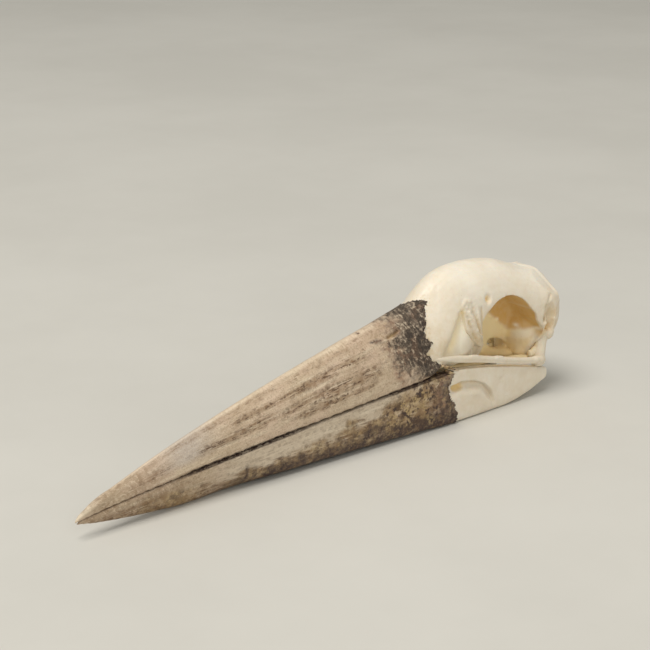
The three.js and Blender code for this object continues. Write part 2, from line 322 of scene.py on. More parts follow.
# a material in the making, with the few kinds of node that the looks need
class Paintbox:
    def __init__(self, name, palette):
        self.palette = palette
        self.look = bpy.data.materials.new(name)
        self.look.use_nodes = True
        self.tree = self.look.node_tree
        self.shader = self.tree.nodes["Principled BSDF"]
        self.coords = addNode(self.tree, "ShaderNodeTexCoord").outputs["Object"]

    def link(self, source, target):
        self.tree.links.new(source, target)

    def layer(self, name, output="Fac"):
        return addNode(self.tree, "ShaderNodeAttribute", attribute_name=name).outputs[output]

    def group(self, tree, vector, **values):
        node = addNode(self.tree, "ShaderNodeGroup", node_tree=tree)
        for label, value in values.items():
            node.inputs[label].default_value = value
        self.link(vector, node.inputs["Vector"])
        return node.outputs["Mask"]

    def patches(self, vector, scale, low, high, detail=5.0):
        return self.group(patchesGroup, vector, Scale=scale, Low=low, High=high, Detail=detail)

    # named patches on the piece itself
    def clouds(self, settings):
        return {name: self.patches(self.coords, *pattern) for name, pattern in settings.items()}

    def pits(self, vector, scale, size):
        return self.group(pitsGroup, vector, Scale=scale, Size=size)

    def times(self, first, second):
        return self.maths("MULTIPLY", first, second)

    # turned first and stretched after, so that strokes can lie aslant
    def stretched(self, vector, scale, turn=0.0):
        node = addNode(self.tree, "ShaderNodeMapping", vector_type="TEXTURE", Rotation=(0, 0, turn))
        node.inputs["Scale"].default_value = [1 / part for part in scale]
        self.link(vector, node.inputs["Vector"])
        return node.outputs["Vector"]

    def maths(self, operation, first, second):
        node = addNode(self.tree, "ShaderNodeMath", operation=operation, use_clamp=operation != "SUBTRACT")
        for socket, value in zip(node.inputs, (first, second)):
            if isinstance(value, (int, float)):
                socket.default_value = value
            else:
                self.link(value, socket)
        return node.outputs["Value"]

    def ranged(self, value, low, high, outLow=0.0, outHigh=1.0):
        node = addNode(self.tree, "ShaderNodeMapRange", interpolation_type="SMOOTHSTEP")
        self.link(value, node.inputs["Value"])
        for label, number in zip(("From Min", "From Max", "To Min", "To Max"), (low, high, outLow, outHigh)):
            node.inputs[label].default_value = number
        return node.outputs["Result"]

    # the mask's own range stretched or shrunk
    def varied(self, mask, least, most):
        return self.ranged(mask, 0, 1, least, most)

    # lays a colour over another through a mask; a colour is a name in the palette or the output of a node
    def over(self, under, colour, mask, strength=1.0):
        if strength != 1.0:
            mask = self.times(mask, strength)
        node = addNode(self.tree, "ShaderNodeMix", data_type="RGBA")
        base, top, factor = node.inputs[6], node.inputs[7], node.inputs[0]  # the colour sockets of a Mix node
        for socket, value in ((base, under), (top, colour)):
            if isinstance(value, str):
                socket.default_value = (*self.palette[value], 1)
            else:
                self.link(value, socket)
        self.link(mask, factor)
        return node.outputs[2]

    def bump(self, height, strength, distance, under=None):
        node = addNode(self.tree, "ShaderNodeBump", Strength=strength, Distance=distance)
        self.link(height, node.inputs["Height"])
        if under is not None:
            self.link(under, node.inputs["Normal"])
        return node.outputs["Normal"]


dryBone = {
    "ivory": (0.825, 0.75, 0.625),
    "pale": (0.88, 0.82, 0.71),
    "paleAndLit": (0.98, 0.92, 0.79),
    "warm": (0.66, 0.51, 0.30),
    "tan": (0.95, 0.79, 0.46),
    "amber": (0.70, 0.43, 0.115),
    "pore": (0.46, 0.35, 0.22),
}
boneGlow = {"Subsurface Weight": 0.12, "Subsurface Radius": (1.0, 0.6, 0.35), "Subsurface Scale": 0.002}
boneClouds = {  # scale, low and high border, detail
    "cloudy": (45.0, 0.35, 0.7, 5.0),
    "stain": (110.0, 0.4, 0.7, 5.0),
    "mottle": (260.0, 0.35, 0.75, 5.0),
    "porous": (150.0, 0.5, 0.68, 5.0),
    "fine": (700.0, 0.3, 0.7, 3.0),
}
bonePores = {"scale": 420.0, "size": 0.22}


def makeBoneLook():
    box = Paintbox("dryBone", dryBone)
    cloud = box.clouds(boneClouds)
    colour = box.over("ivory", "pale", cloud["cloudy"])
    # warm: stains, and painted shade in creases, hollows and on the lower face
    warm = box.times(box.layer("warm"), box.maths("ADD", cloud["stain"], 0.45))
    colour = box.over(colour, "warm", warm)
    colour = box.over(colour, "warm", cloud["mottle"], 0.14)
    # paler: painted light on the window walls, painted highlights on the orbit knobs, and paler bone
    # elsewhere
    colour = box.over(colour, "paleAndLit", box.layer("paleAndLit"))
    # tan and amber: the bone's own tones, with painted shade in holes, recesses and hollows and the painted
    # glow of the thin orbit walls
    colour = box.over(colour, "tan", box.layer("tan"))
    amber = box.times(box.layer("amber"), box.varied(cloud["mottle"], 0.86, 1.0))
    colour = box.over(colour, "amber", amber)
    pores = box.times(box.pits(box.coords, **bonePores), box.times(cloud["porous"], 0.6))
    colour = box.over(colour, "pore", pores)
    box.link(colour, box.shader.inputs["Base Color"])
    box.link(box.varied(cloud["stain"], 0.38, 0.56), box.shader.inputs["Roughness"])
    normal = box.bump(cloud["fine"], 0.12, 0.0003)
    normal = box.bump(box.maths("SUBTRACT", 1.0, pores), 0.35, 0.0004, normal)
    box.link(normal, box.shader.inputs["Normal"])
    for label, value in boneGlow.items():
        box.shader.inputs[label].default_value = value
    return box.look


weatheredHorn = {
    "tan": (0.64, 0.51, 0.36),
    "pink": (0.71, 0.55, 0.415),
    "cream": (0.80, 0.69, 0.52),
    "grey": (0.54, 0.485, 0.44),
    "brown": (0.24, 0.138, 0.065),
    "streak": (0.095, 0.048, 0.020),
    "charcoal": (0.030, 0.022, 0.017),
    "ash": (0.32, 0.245, 0.175),
    "fleck": (0.62, 0.52, 0.39),
    "smoke": (0.25, 0.205, 0.165),
    "rust": (0.36, 0.205, 0.125),
    "yellow": (0.51, 0.365, 0.165),
    "maroon": (0.055, 0.028, 0.02),
}
hornClouds = {  # scale, low and high border, detail
    "dusty": (210.0, 0.40, 0.72, 6.0),
    "broken": (330.0, 0.42, 0.58, 6.0),
    "gritty": (400.0, 0.43, 0.60, 8.0),
    "pinkish": (34.0, 0.38, 0.66, 5.0),
    "dotted": (30.0, 0.5, 0.56, 5.0),
    "yellowish": (70.0, 0.34, 0.66, 8.0),
    "rusty": (95.0, 0.45, 0.60, 8.0),
    "blotched": (150.0, 0.50, 0.60, 8.0),
    "peppered": (240.0, 0.52, 0.60, 6.0),
    "spread": (75.0, 0.33, 0.66, 10.0),
    "specks": (230.0, 0.36, 0.64, 8.0),
    "ashCloud": (62.0, 0.42, 0.60, 4.0),
    "rustCloud": (105.0, 0.50, 0.62, 8.0),
}
hornStrokes = {  # on the grain: stretch, turn, then scale, low and high border, detail
    "steep": ((3.8, 1.4, 1), 0.5, 1.3, 0.45, 0.60, 7.0),
    "level": ((2.4, 2.0, 1), -0.4, 1.5, 0.48, 0.62, 7.0),
    "creamy": ((0.30, 2.6, 1), 0, 0.9, 0.45, 0.7, 5.0),
    "brownish": ((0.30, 2.6, 1), 0, 1.4, 0.34, 0.60, 5.0),
    "pitted": ((0.30, 2.6, 1), 0, 3.4, 0.455, 0.575, 5.0),
    "worn": ((0.9, 2.4, 1), 0.15, 1.1, 0.46, 0.72, 8.0),
    "scratched": ((5.0, 3.4, 1), 0.6, 2.4, 0.50, 0.62, 6.0),
    "polished": ((5.5, 2.6, 1), -0.5, 2.0, 0.54, 0.64, 6.0),
    "hatched": ((4.5, 1.1, 1), 0.3, 1.1, 0.52, 0.60, 5.0),
    "fibres": ((0.8, 14.0, 1), 0, 1.5, 0.3, 0.7, 5.0),
}
hornDots = {"scale": 85.0, "size": 0.13}
hornChips = {"stretch": (3.0, 6.0, 1), "scale": 1.2, "size": 0.25}
baseStains = [  # patches on the stained base: cloud, colour, strength
    ("yellowish", "yellow", 1.0),
    ("rusty", "brown", 0.8),
    ("blotched", "streak", 0.9),
    ("peppered", "maroon", 0.95),
]


# tan and pink horn with cream and brown wear, and cream on the rims: partly a painted highlight along the
# culmen
def cleanColour(box, cloud, stroke):
    colour = box.over("tan", "pink", cloud["pinkish"])
    colour = box.over(colour, "cream", stroke["creamy"], 0.7)
    colour = box.over(colour, "grey", box.layer("ashy"))
    worn = box.times(stroke["worn"], box.varied(cloud["gritty"], 0.10, 0.34))
    colour = box.over(colour, "brown", worn)
    colour = box.over(colour, "brown", stroke["scratched"], 0.36)
    colour = box.over(colour, "cream", stroke["polished"], 0.55)
    # cream on the rims: a painted highlight along the culmen, with the pale top of the tip, the nostril ridge
    # and the band along the top of the lower half
    colour = box.over(colour, "cream", box.layer("rim"))
    dots = box.times(box.pits(box.coords, **hornDots), cloud["dotted"])
    return box.over(colour, "streak", dots, 0.8)


# brown rows with dark pits, the scratched tip and the stains of the base, with painted shade among them:
# brown below the culmen, on the lower side of the lower half and along its bottom
def stainedColour(box, colour, cloud, stroke, spots):
    brownish = box.times(box.layer("streakyAndShaded"), box.varied(stroke["brownish"], 0.15, 1.0))
    colour = box.over(colour, "brown", box.times(brownish, box.varied(cloud["dusty"], 0.58, 1.0)))
    colour = box.over(colour, "streak", spots, 0.95)
    tipTone = box.times(box.varied(stroke["hatched"], 0.62, 0.12), box.varied(cloud["dusty"], 0.55, 1.0))
    colour = box.over(colour, "brown", box.times(box.layer("tipStainAndShade"), tipTone))
    stainedAndShaded = box.layer("stainedAndShaded")
    for name, tone, strength in baseStains:
        colour = box.over(colour, tone, box.times(cloud[name], stainedAndShaded), strength)
    return colour


# the scorched, flaking horn near the torn edges
def burntColour(box, cloud, stroke):
    strokes = box.maths("MAXIMUM", stroke["steep"], box.times(stroke["level"], 0.9))
    ashen = box.maths("MAXIMUM", box.times(strokes, 0.7), box.times(cloud["gritty"], 0.8))
    colour = box.over("charcoal", "ash", ashen)
    colour = box.over(colour, "ash", cloud["ashCloud"], 0.28)
    colour = box.over(colour, "rust", cloud["rustCloud"], 0.6)
    flecks = box.times(strokes, box.varied(cloud["gritty"], 0.35, 1.0))
    colour = box.over(colour, "fleck", box.ranged(flecks, 0.45, 1.0, 0.0, 0.7))
    crust = box.ranged(box.layer("burnt"), 0.6, 1.0, 0.0, 0.7)
    colour = box.over(colour, "charcoal", box.times(crust, box.varied(flecks, 1.0, 0.2)))
    return colour, ashen


def makeHornLook():
    box = Paintbox("weatheredHorn", weatheredHorn)
    grain = box.layer("grain", "Vector")
    cloud = box.clouds(hornClouds)
    stroke = {}
    for name, (stretch, turn, *pattern) in hornStrokes.items():
        stroke[name] = box.patches(box.stretched(grain, stretch, turn), *pattern)
    spots = box.times(box.times(stroke["pitted"], cloud["broken"]), box.layer("streakyAndShaded"))
    colour = stainedColour(box, cleanColour(box, cloud, stroke), cloud, stroke, spots)
    # smoke first, then the burnt horn itself, both with an uneven border
    uneven = box.maths("ADD", box.times(cloud["spread"], 0.32), box.times(cloud["specks"], 0.24))
    border = box.maths("ADD", box.times(box.layer("burnt"), 0.72), uneven)
    reached = box.ranged(box.layer("burnt"), 0.0, 0.25)
    smoky = box.times(box.ranged(border, 0.34, 0.62), reached)
    sooty = box.over("smoke", "rust", cloud["spread"])
    colour = box.over(colour, sooty, box.times(smoky, box.varied(cloud["gritty"], 0.75, 0.25)))
    burnt, ashen = burntColour(box, cloud, stroke)
    darkMask = box.times(box.ranged(border, 0.56, 0.84), reached)
    colour = box.over(colour, burnt, darkMask, 0.94)
    # dark maroon on the torn edges, cuts and cracks, and painted shade in the mouth gap and along the keel of
    # the lower half
    rimTone = box.times(box.layer("rimDark"), box.varied(cloud["broken"], 1.0, 0.55))
    colour = box.over(colour, "maroon", rimTone)
    chips = box.pits(box.stretched(grain, hornChips["stretch"]), hornChips["scale"], hornChips["size"])
    flecks = box.times(chips, box.times(cloud["broken"], 0.85))
    colour = box.over(colour, "brown", flecks)
    box.link(colour, box.shader.inputs["Base Color"])
    box.link(box.varied(darkMask, 0.42, 0.7), box.shader.inputs["Roughness"])
    normal = box.bump(stroke["fibres"], 0.25, 0.0004)
    hollows = box.maths("MAXIMUM", spots, flecks)
    normal = box.bump(box.maths("SUBTRACT", 1.0, hollows), 0.4, 0.0007, normal)
    normal = box.bump(box.times(ashen, darkMask), 0.8, 0.0011, normal)
    box.link(normal, box.shader.inputs["Normal"])
    return box.look


boneLook = makeBoneLook()
hornLook = makeHornLook()
print("looks made")

# torn rear edges of the horn: degrees from the culmen down the side, and the station of the edge there
upperHorn = {
    "voxel": 0.8,
    "smoothing": 4,
    "rearCut": 335,
    "axisHeight": 66,
    "turns": [0, 11, 18, 23, 33, 60, 70, 82, 94, 100, 111, 118, 132, 180],
    "edges": [294, 300, 303, 299, 297, 292, 291, 297, 294, 289, 293, 300, 309, 305],
    "farStep": 9,  # shorter on the right, near the culmen
    "up": 1,  # which way the outer side faces
    "proud": 0.7,  # how far it stands out from the bone
    "lip": 1.0,  # thickness that shows at the torn edge
    "seed": 3,
}
lowerHorn = {
    "voxel": 0.8,
    "smoothing": 4,
    "rearCut": 340,
    "axisHeight": 20,
    "turns": [0, 40, 46, 52, 57, 64, 80, 95, 110, 125, 180],
    "edges": [316, 315, 319, 317, 313, 311, 312, 316, 319, 321, 323],
    "farStep": 0,
    "up": -1,
    "proud": 0.6,
    "lip": 1.0,
    "seed": 5,
}
tearing = {"coarse": {"height": 1.6, "size": 4, "octaves": 4}, "fine": {"height": 1.2, "size": 1.3}}
farSide = {"sides": (0, 4), "turns": (30, 60)}

# the bill's outlines, as the solids have them
bill = {"length": 288, "culmenTip": 12.3, "culmenRise": 80.2, "mouthTip": 11.4, "mouthRise": 30, "bow": 0.7}


def billHeights(station):
    share = (np.clip(station, 1, None) / bill["length"]) ** bill["bow"]
    return bill["culmenTip"] + bill["culmenRise"] * share, bill["mouthTip"] + bill["mouthRise"] * share


def tornStation(settings, mm):
    seed = settings["seed"]
    turn = np.degrees(np.arctan2(np.abs(mm[:, 1]), mm[:, 2] - settings["axisHeight"]))
    edge = np.interp(turn, settings["turns"], settings["edges"])
    onFarSide = smoothStep(mm[:, 1], *farSide["sides"]) * fadeOut(turn, *farSide["turns"])
    coarse = rough(mm, **tearing["coarse"], seed=seed)
    fine = rough(mm, **tearing["fine"], seed=seed + 1)
    return edge - settings["farStep"] * onFarSide + coarse + fine


# skull bone behind the horn, with a plug that reaches under it
head = {
    "voxel": 0.75,
    "smoothing": 5,
    "frontCut": 262,
    "plug": {"depth": 3.2, "reach": (2, 7)},
    "textures": [{"height": 0.12, "size": 9}, {"height": 0.05, "size": 2.5}],
    "orbits": [  # station, height and radius of the rings round the eye sockets
        (372.5, 62, 26),
        (397, 58, 14),
    ],
    "orbitBorder": (-1, 2),
    "orbitSoftening": (3, 5),
    "noseSoftening": {"radii": (17, 14, 22), "border": (0.1, 0.6), "side": (20.5, 22.5)},
    "outerSide": {"stations": [300, 346, 378, 404, 424], "sides": [25, 24.3, 25.6, 29.3, 30.5]},
    "narrowing": {"height": 73, "reach": 40, "share": 0.45},
    "roundEdges": [  # places along the edge, width, strength
        ([(302, -24.5, 55), (314, -24.5, 73), (325, -24, 87)], 5.5, 1),
        ([(415, -10, 99), (427, -20, 86), (428, -27, 78)], 9, 1),
        ([(352, -24, 80), (351, -24, 70), (352, -24, 58)], 3, 0.7),
    ],
    "rounds": {"edges": 50, "orbits": 60, "noseWall": 60},
    "lines": {  # places along the line, width, rise
        "hinge": ([(312, -9, 103), (309, -13, 98), (305, -16, 91)], 2.2, -0.25),
        "ridge": ([(328, -22, 90), (331, -21.5, 92.5), (334, -21.5, 91)], 1.5, 0.9),
        "crest": (
            [(409, -2.5, 99.8), (417, -7, 97), (421, -14, 92.8), (425.5, -22.5, 84), (426, -28.5, 77.5)],
            2.0,
            0.75,
        ),
        "underCrest": ([(408, -5, 98.5), (414, -10, 95.5), (418.5, -16, 90.5), (422, -24, 83)], 2.2, -0.35),
        "napeRidge": ([(428, 0, 97), (433, 0, 86), (434, 0, 70)], 1.8, 0.7),
        "neckLine": ([(425, -29, 74), (431, -20, 67), (433, -11, 62)], 1.8, 0.7),
        "temple": ([(414.8, -30.2, 80), (410.8, -30.7, 70.5), (409.4, -30.3, 61)], 1.3, -1.1),
        "templeFold": ([(411.5, -30.6, 72), (409.6, -30.3, 61.5)], 1.7, -1.6),
        "earRidge": ([(409.5, -30, 58), (414, -30.4, 60), (418.8, -30.1, 60.6)], 1.1, 0.8),
    },
    "spots": {  # place, radii, rise
        "foramen": ((353, -23.5, 89), (2.0, 3, 2.6), -4.2),
        "ear": ((414.5, -28.8, 54.4), (3.0, 5, 3.6), -3.8),
        "notch": ((409.5, -25.5, 50.5), (3, 5, 2.6), -1.2),
        "noseWall": ((323, -17, 58), (15, 12, 19), 6.2),
        "underside": ((409, -12, 31), (8, 6, 6), 3),
        "rostrum": ((399, -9, 31), (7, 8, 5), 4),
        "nape": ((433, 0, 76), (9, 8, 9), 1.6),
        "napeHollow": ((431, -15, 79), (8, 7, 8), -1.4),
        "keel": ((414, 0, 26), (14, 4, 5), -2),
    },
    "glints": {  # small knobs on the walls of the orbits, each with a painted highlight
        "places": [(379.3, -1.3, 63.6), (387, -1.3, 60), (400.2, -9.1, 54.4), (409, -23, 53.2)],
        "radii": (1.7, 3, 1.5),
        "rise": 0.9,
    },
}
foramenMagnum = {
    "height": 58,
    "wide": 7.6,
    "high": 7.1,
    "border": (0.75, 1),
    "stations": (416, 420),
    "depth": 9,
}

# rough ridges and furrows down the plate of bone between the face and the orbit
lacrimal = {
    "side": (19.5, 21),
    "facing": (0.2, 0.6),
    "lines": [  # places along the line, width, rise
        (
            [
                (330.5, -24, 88),
                (333, -24, 81),
                (336.5, -24, 75),
                (339, -24, 68),
                (342.5, -24, 62),
                (347.5, -24, 55.5),
            ],
            1.2,
            2.1,
        ),
        ([(328.5, -24, 84), (332.8, -24, 72), (338.6, -24, 62), (344.5, -24, 55.5)], 1.1, -1.6),
        ([(336, -24, 87), (337.5, -24, 80), (340.5, -24, 72), (343.5, -24, 64)], 1.0, -1.2),
        ([(341, -24, 86), (342, -24, 77), (343.5, -24, 69)], 0.9, 0.9),
        ([(345, -24, 84), (345.5, -24, 75), (347, -24, 66)], 0.9, -0.7),
    ],
    "plateWidth": 6,
    "grit": {"height": 0.7, "size": 2.2, "octaves": 3},
}

# where the bone is amber, tan, paler or warm, as its own tone and as painted light and shade; ranges run from
# none to full, or from full to none
headPaint = {
    "orbitDepth": (0.6, 2.2),
    "amberLine": {"stations": [372, 379, 391, 398, 407, 412], "heights": [72, 66, 55, 51, 52, 55]},
    "amberWaves": {"height": 2, "size": 11, "seed": 7},
    "amberBorder": (-2, 3),
    "patches": {  # place and radii
        "ear": (head["spots"]["ear"][0], (2.8, 6, 3.8)),
        "notch": (head["spots"]["notch"][0], (3.4, 6, 3)),
        "hole": (head["spots"]["foramen"][0], (1.8, 4, 2.4)),
        "window": ((330, -16, 58), (20, 14, 26)),
        "corner": ((304, -18, 50), (9, 10, 12)),
        "dome": ((340, -16, 103), (24, 18, 12)),
        "fossa": ((417, -29, 70), (6, 8, 12)),
    },
    "septum": {"side": (3, 9), "stations": (352, 368)},
    "bar": {"heights": (38, 42), "side": (9, 13), "front": (340, 348), "rear": (400, 409)},
    "skullFloor": {"heights": (40, 52), "sunk": (1, 4), "front": (378, 392), "rear": (406, 418)},
    "windowSunk": (1.5, 6),
    "cornerSunk": (2, 5),
    "fold": {"points": [(306, -21, 53), (318, -21, 72), (328, -21, 85)], "width": 4.5, "sunk": (0.8, 2.5)},
    "fossaFront": (409, 413),
    # painted shade: the face warmer towards the bottom, fading out between these heights
    "lowFace": (56, 96),
    "templeWidth": 2.2,
    "soiled": {"reach": (1, 8), "border": (0.1, 0.5)},
    "dirt": {"height": 1, "size": 1.6, "seed": 9},
    "forehead": (312, 338),
}


# smooths only where the weights say
def soften(piece, weights, iterations):
    group = piece.vertex_groups.new(name="soft")
    for index in np.flatnonzero(weights > leastWeight):
        group.add([int(index)], float(weights[index]), "REPLACE")
    applied(piece, "SMOOTH", factor=smoothFactor, iterations=iterations, vertex_group="soft")
    piece.vertex_groups.clear()


# how far each place lies inside the outer surface of the skull
def depthInside(mm):
    outer, waist = head["outerSide"], head["narrowing"]
    narrowing = 1 - waist["share"] * ((mm[:, 2] - waist["height"]) / waist["reach"]) ** 2
    return np.interp(mm[:, 0], outer["stations"], outer["sides"]) * narrowing - np.abs(mm[:, 1])


# 1 on the walls of the eye sockets
def inOrbit(mm, shallow, deep):
    inside = np.zeros(len(mm))
    for station, height, radius in head["orbits"]:
        reach = np.hypot(mm[:, 0] - station, mm[:, 2] - height)
        inside = np.maximum(inside, fadeOut(reach - radius, *head["orbitBorder"]))
    return inside * smoothStep(depthInside(mm), shallow, deep)


# 1 on the outer face of the lacrimals
def onLacrimal(mm, normals):
    outward = normals[:, 1] * np.sign(mm[:, 1])
    return smoothStep(np.abs(mm[:, 1]), *lacrimal["side"]) * smoothStep(outward, *lacrimal["facing"])


def allGlints(mm):
    glints = head["glints"]
    return sum(blob(bothSides(mm), spot, glints["radii"]) for spot in glints["places"])


# 1 along the middle of the lacrimals
def lacrimalPlate(mm):
    return softLine(bothSides(mm), lacrimal["lines"][0][0], lacrimal["plateWidth"])


# everything that is raised or sunk on the skull bone
def headRelief(mm, onPlate):
    left = bothSides(mm)
    plug = head["plug"]
    rise = -plug["depth"] * smoothStep(tornStation(upperHorn, mm) - mm[:, 0], *plug["reach"])
    rise += lineRelief(left, head["lines"].values())
    rise += spotRelief(left, head["spots"].values())
    rise += onPlate * lineRelief(left, lacrimal["lines"])
    rise += onPlate * lacrimalPlate(mm) * rough(mm, **lacrimal["grit"])
    rise += head["glints"]["rise"] * allGlints(mm)
    return rise + sum(rough(mm, **texture) for texture in head["textures"])


# 1 inside the opening for the spinal cord
def inForamen(mm):
    hole = foramenMagnum
    across = np.hypot(mm[:, 1] / hole["wide"], (mm[:, 2] - hole["height"]) / hole["high"])
    return fadeOut(across, *hole["border"]) * smoothStep(mm[:, 0], *hole["stations"])


def paintHead(piece, mm, onPlate):
    left = bothSides(mm)
    station, side, height = mm[:, 0], np.abs(mm[:, 1]), mm[:, 2]
    sunk = depthInside(mm)
    patch = {name: blob(left, *spot) for name, spot in headPaint["patches"].items()}
    # painted highlights on the knobs in the orbits: paler, and kept clear of the amber
    glints = allGlints(mm)
    # the eye sockets: amber above an uneven line, partly the bone's own tone and partly the painted glow of
    # thin bone lit from behind; paler below it
    inside = inOrbit(mm, *headPaint["orbitDepth"])
    line = headPaint["amberLine"]
    aboveLine = height - np.interp(station, line["stations"], line["heights"])
    high = smoothStep(aboveLine + rough(mm, **headPaint["amberWaves"]), *headPaint["amberBorder"])
    lowOrbit = inside * (1 - high)
    wall = headPaint["septum"]
    septum = lowOrbit * fadeOut(side, *wall["side"]) * (0.25 + 0.55 * smoothStep(station, *wall["stations"]))
    # the hollows of the skull base: tan and amber, partly the bone's own tone and partly painted shade with
    # painted warm reflected light
    rod, base = headPaint["bar"], headPaint["skullFloor"]
    bar = fadeOut(height, *rod["heights"]) * fadeOut(side, *rod["side"])
    bar *= smoothStep(station, *rod["front"]) * fadeOut(station, *rod["rear"])
    skullFloor = fadeOut(height, *base["heights"]) * smoothStep(sunk, *base["sunk"])
    skullFloor *= smoothStep(station, *base["front"]) * fadeOut(station, *base["rear"])
    hollows = np.maximum(0.85 * bar, 0.6 * skullFloor)
    deepAmber = (0.95 * inside * high + 0.45 * hollows) * (1 - 0.9 * glints)
    # painted shade in the recesses and holes: amber in the ear recess, the notch, the small foramen and the
    # foramen magnum
    ear = patch["ear"] + 0.8 * patch["notch"]
    paintMix(piece, "amber", (1, deepAmber), (0.9, ear), (0.3, patch["hole"]), (1, inForamen(mm)))
    # the window ahead of the lacrimal: painted light on its sunken wall, painted shade in its front corner
    # and along its fold
    window = patch["window"] * smoothStep(sunk, *headPaint["windowSunk"])
    corner = patch["corner"] * smoothStep(sunk, *headPaint["cornerSunk"])
    crease = headPaint["fold"]
    fold = softLine(left, crease["points"], crease["width"]) * smoothStep(sunk, *crease["sunk"])
    # tan: the septum's own tone, and painted shade in the hollows, the small foramen, the window's corner and
    # its fold; a little over the window
    tan = np.maximum(hollows, septum + 0.3 * lowOrbit)
    paintMix(piece, "tan", (1, tan), (0.9, patch["hole"]), (0.2, window), (0.4, corner), (0.6, fold))
    # paler: painted light on the window's wall and painted highlights on the knobs in the orbits; the top of
    # the head and the lower walls of the orbits are paler too
    paleAndLit = window * (1 - corner)
    paintMix(piece, "paleAndLit", (1.2, paleAndLit), (0.45, patch["dome"]), (0.6, lowOrbit), (1, glints))
    # warm tint: painted shade on the lower face, in the temple fold, the fossa, the lacrimal furrows and the
    # window's corner; dirt at the torn edge; a slight tint on the forehead and the lacrimal plate
    furrows = sum(softLine(left, points, width) for points, width, rise in lacrimal["lines"] if rise < 0)
    templeFold = softLine(left, head["lines"]["templeFold"][0], headPaint["templeWidth"])
    face = (0.45 * fadeOut(height, *headPaint["lowFace"]) + 0.7 * templeFold) * (1 - 0.9 * window)
    fossa = patch["fossa"] * smoothStep(station, *headPaint["fossaFront"])
    torn = headPaint["soiled"]
    soiled = fadeOut(station - tornStation(upperHorn, mm), *torn["reach"])
    soiled *= smoothStep(rough(mm, **headPaint["dirt"]), *torn["border"])
    forehead = fadeOut(station, *headPaint["forehead"])
    plate = onPlate * lacrimalPlate(mm)
    furrowed = [(0.75, onPlate * furrows), (0.2, plate), (0.5, corner)]
    paintMix(piece, "warm", (1, face), (0.5, soiled), (0.45, fossa), (0.16, forehead), *furrowed)


def makeHead():
    bones = ["cranium", "upper_jaw", "lacrimal_left", "lacrimal_right"]
    rounds = head["rounds"]
    piece = copyNodes("headBone", *bones, "upper_sheath")
    remeshed(piece, head["voxel"], head["smoothing"])
    cutAcross(piece, head["frontCut"], True)
    edges = lineRelief(bothSides(surfaceOf(piece)[0]), head["roundEdges"])
    soften(piece, np.clip(edges, 0, 1), rounds["edges"])
    soften(piece, inOrbit(surfaceOf(piece)[0], *head["orbitSoftening"]), rounds["orbits"])
    mm, normals = surfaceOf(piece)
    onPlate = onLacrimal(mm, normals)
    sculpt(piece, headRelief(mm, onPlate))
    wall = head["noseSoftening"]
    hollow = smoothStep(blob(bothSides(mm), head["spots"]["noseWall"][0], wall["radii"]), *wall["border"])
    soften(piece, hollow * (1 - onPlate) * fadeOut(np.abs(mm[:, 1]), *wall["side"]), rounds["noseWall"])
    shift(piece, inForamen(mm)[:, None] * np.array([-foramenMagnum["depth"], 0, 0]))
    paintHead(piece, mm, onPlate)
    finishPiece(piece, "bone", boneLook, *bones)


# horn is a skin laid over the bone, cut off at its torn edge and turned in to show its thickness
hornSkin = {
    "outward": (-0.5, 0.1),
    "proudReach": (3, 40),
    "flakes": {"reach": (12, 45), "height": 0.35, "steps": 2.5, "size": 7, "octaves": 4},
    "fibres": {"height": 0.10, "size": 5, "octaves": 3, "stretch": (4, 1, 1)},
}


def layHorn(name, settings, *nodeNames):
    piece = copyNodes(name, *nodeNames)
    remeshed(piece, settings["voxel"], settings["smoothing"])
    cutAcross(piece, settings["rearCut"], False)
    mm, normals = surfaceOf(piece)
    seed = settings["seed"]
    flakes = hornSkin["flakes"]
    aheadOfEdge = tornStation(settings, mm) - mm[:, 0]
    outward = smoothStep(normals[:, 2] * settings["up"], *hornSkin["outward"])
    relief = settings["proud"] * outward * fadeOut(aheadOfEdge, *hornSkin["proudReach"])
    steps = np.round(rough(mm, flakes["steps"], flakes["size"], flakes["octaves"], seed=seed + 2))
    layers = flakes["height"] * steps / flakes["steps"]
    relief += layers * outward * fadeOut(aheadOfEdge, *flakes["reach"])
    relief += rough(mm, **hornSkin["fibres"], seed=seed + 3)
    sculpt(piece, relief)
    return piece, mm, aheadOfEdge


def tearHorn(piece, settings, aheadOfEdge):
    deleteWhere(piece, aheadOfEdge < 0)
    editMode(piece)
    bpy.ops.mesh.select_all(action="DESELECT")
    bpy.ops.mesh.select_non_manifold()
    bpy.ops.mesh.extrude_region_shrink_fatten(TRANSFORM_OT_shrink_fatten={"value": -settings["lip"] / 1000})
    objectMode()


# coordinates of the strokes: along the bill, up or down its sides, and apart on the left and the right
grain = {"step": 10, "upward": 4, "downward": -3, "apart": 9}


def paintGrain(piece, mm, upright):
    along = mm[:, 0] / grain["step"]
    paintVector(piece, "grain", np.stack([along, upright, np.sign(mm[:, 1]) * grain["apart"]], 1))


tipHook = {
    "reach": 16,
    "upperStep": (-1.5, 0, 0),
    "lowerStep": (-0.6, 0, 0.9),
    "bluntReach": (1, 9),
    "swell": 0.7,
    "rounds": 8,  # of smoothing
    "bulge": {"station": 15, "reach": 13, "rise": 1.5, "shares": (0.3, 0.8)},
}


# draws the bill out towards its tip
def hookTip(piece, mm, step):
    shift(piece, fadeOut(mm[:, 0], 0, tipHook["reach"])[:, None] * np.array(step))


# a blunt end for either half of the bill
def bluntTip(piece, mm):
    nearTip = fadeOut(mm[:, 0], *tipHook["bluntReach"])
    sculpt(piece, tipHook["swell"] * nearTip)
    soften(piece, nearTip, tipHook["rounds"])


